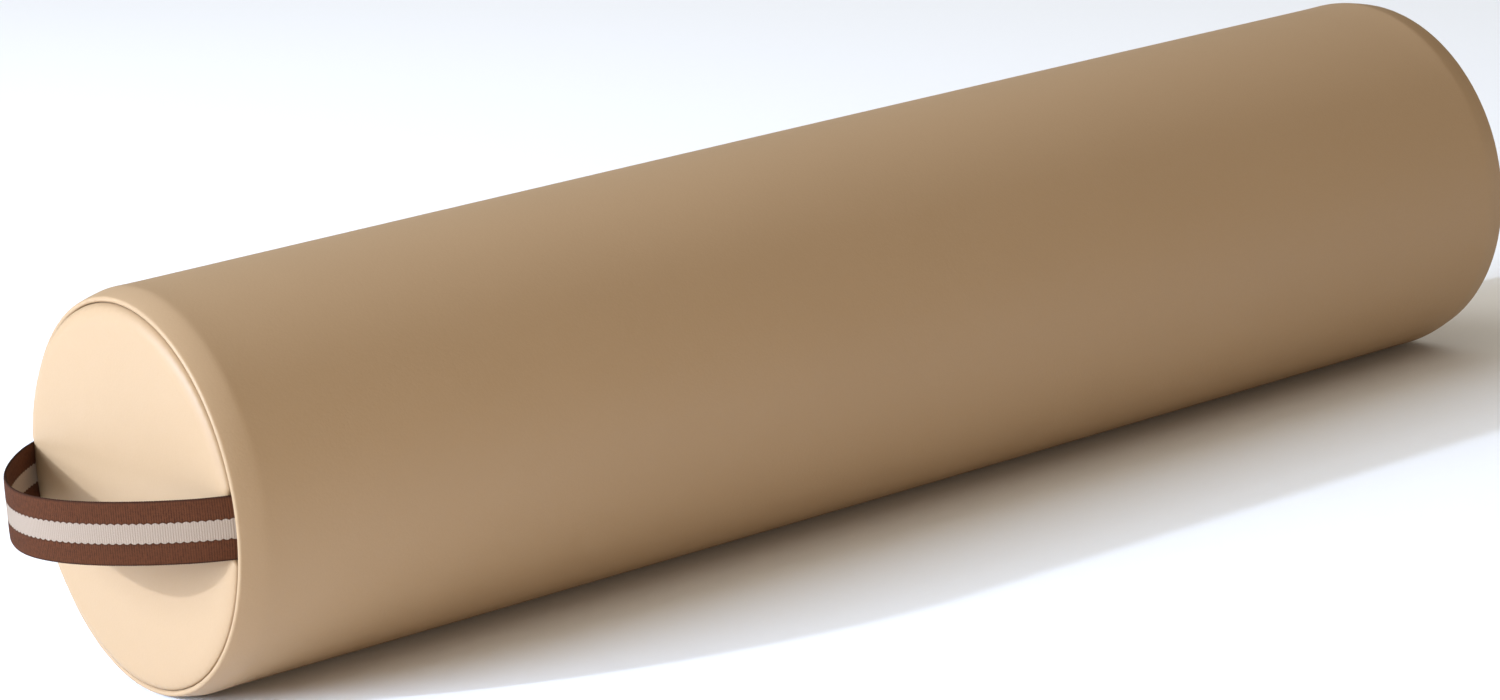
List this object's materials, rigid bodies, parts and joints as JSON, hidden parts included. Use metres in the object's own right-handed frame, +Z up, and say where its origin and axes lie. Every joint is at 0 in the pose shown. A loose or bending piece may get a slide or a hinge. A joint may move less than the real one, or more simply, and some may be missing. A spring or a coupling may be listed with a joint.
{
  "type": "massage bolster",
  "caption": "Long round foam massage bolster in a smooth leatherette cover with domed ends, a zip along the back and a webbing loop handle on one end.",
  "frame": {"origin": "on the floor, under the middle of the bolster, at the centre of the flat strip it rests on", "axes": "+X along the bolster away from the handle, +Z up, +Y towards the side with the zip"},
  "size_m": [0.6918, 0.1558, 0.1514],
  "materials": {
    "leatherette": "smooth satin polyurethane leather, cream",
    "core_foam": "open-cell polyurethane foam, pale yellow",
    "wadding": "soft white polyester wadding",
    "webbing": "ribbed woven webbing, dark brown with a cream band along the middle",
    "zip_tape": "woven herringbone tape, beige",
    "zip_coil": "moulded nylon coil, beige",
    "zip_metal": "nickel-plated die casting"
  },
  "bodies": {
    "cover": {"foam_core": "core_foam", "foam_wrap": "wadding", "plain_end_pad": "wadding", "handle_end_pad": "wadding", "tube_panel": "leatherette", "plain_end_panel": "leatherette", "handle_end_panel": "leatherette", "handle_tail_front": "webbing", "handle_tail_back": "webbing", "zip_tape_upper": "zip_tape", "zip_tape_lower": "zip_tape", "zip_coil_upper": "zip_coil", "zip_coil_lower": "zip_coil", "zip_top_stop_upper": "zip_metal", "zip_top_stop_lower": "zip_metal", "zip_bottom_stop": "zip_metal"},
    "handle": {"handle_loop": "webbing"},
    "slider": {"zip_slider": "zip_metal"},
    "pull": {"zip_pull": "zip_metal"}
  },
  "joints": [
    {"name": "handle_swing", "type": "hinge", "parent": "cover", "child": "handle", "pos_m": [-0.3344, 0, 0.07526], "axis": [0, 1, 0], "range_deg": [-60, 60], "stiffness_Nm_per_rad": 0.1},
    {"name": "zip_slide", "type": "slide", "parent": "cover", "child": "slider", "axis": [1, 0, 0], "range_m": [0, 0.542]},
    {"name": "pull_swing", "type": "hinge", "parent": "slider", "child": "pull", "pos_m": [-0.2712, 0.07757, 0.09175], "axis": [0, -0.2079, 0.9781], "range_deg": [0, 170]}
  ]
}
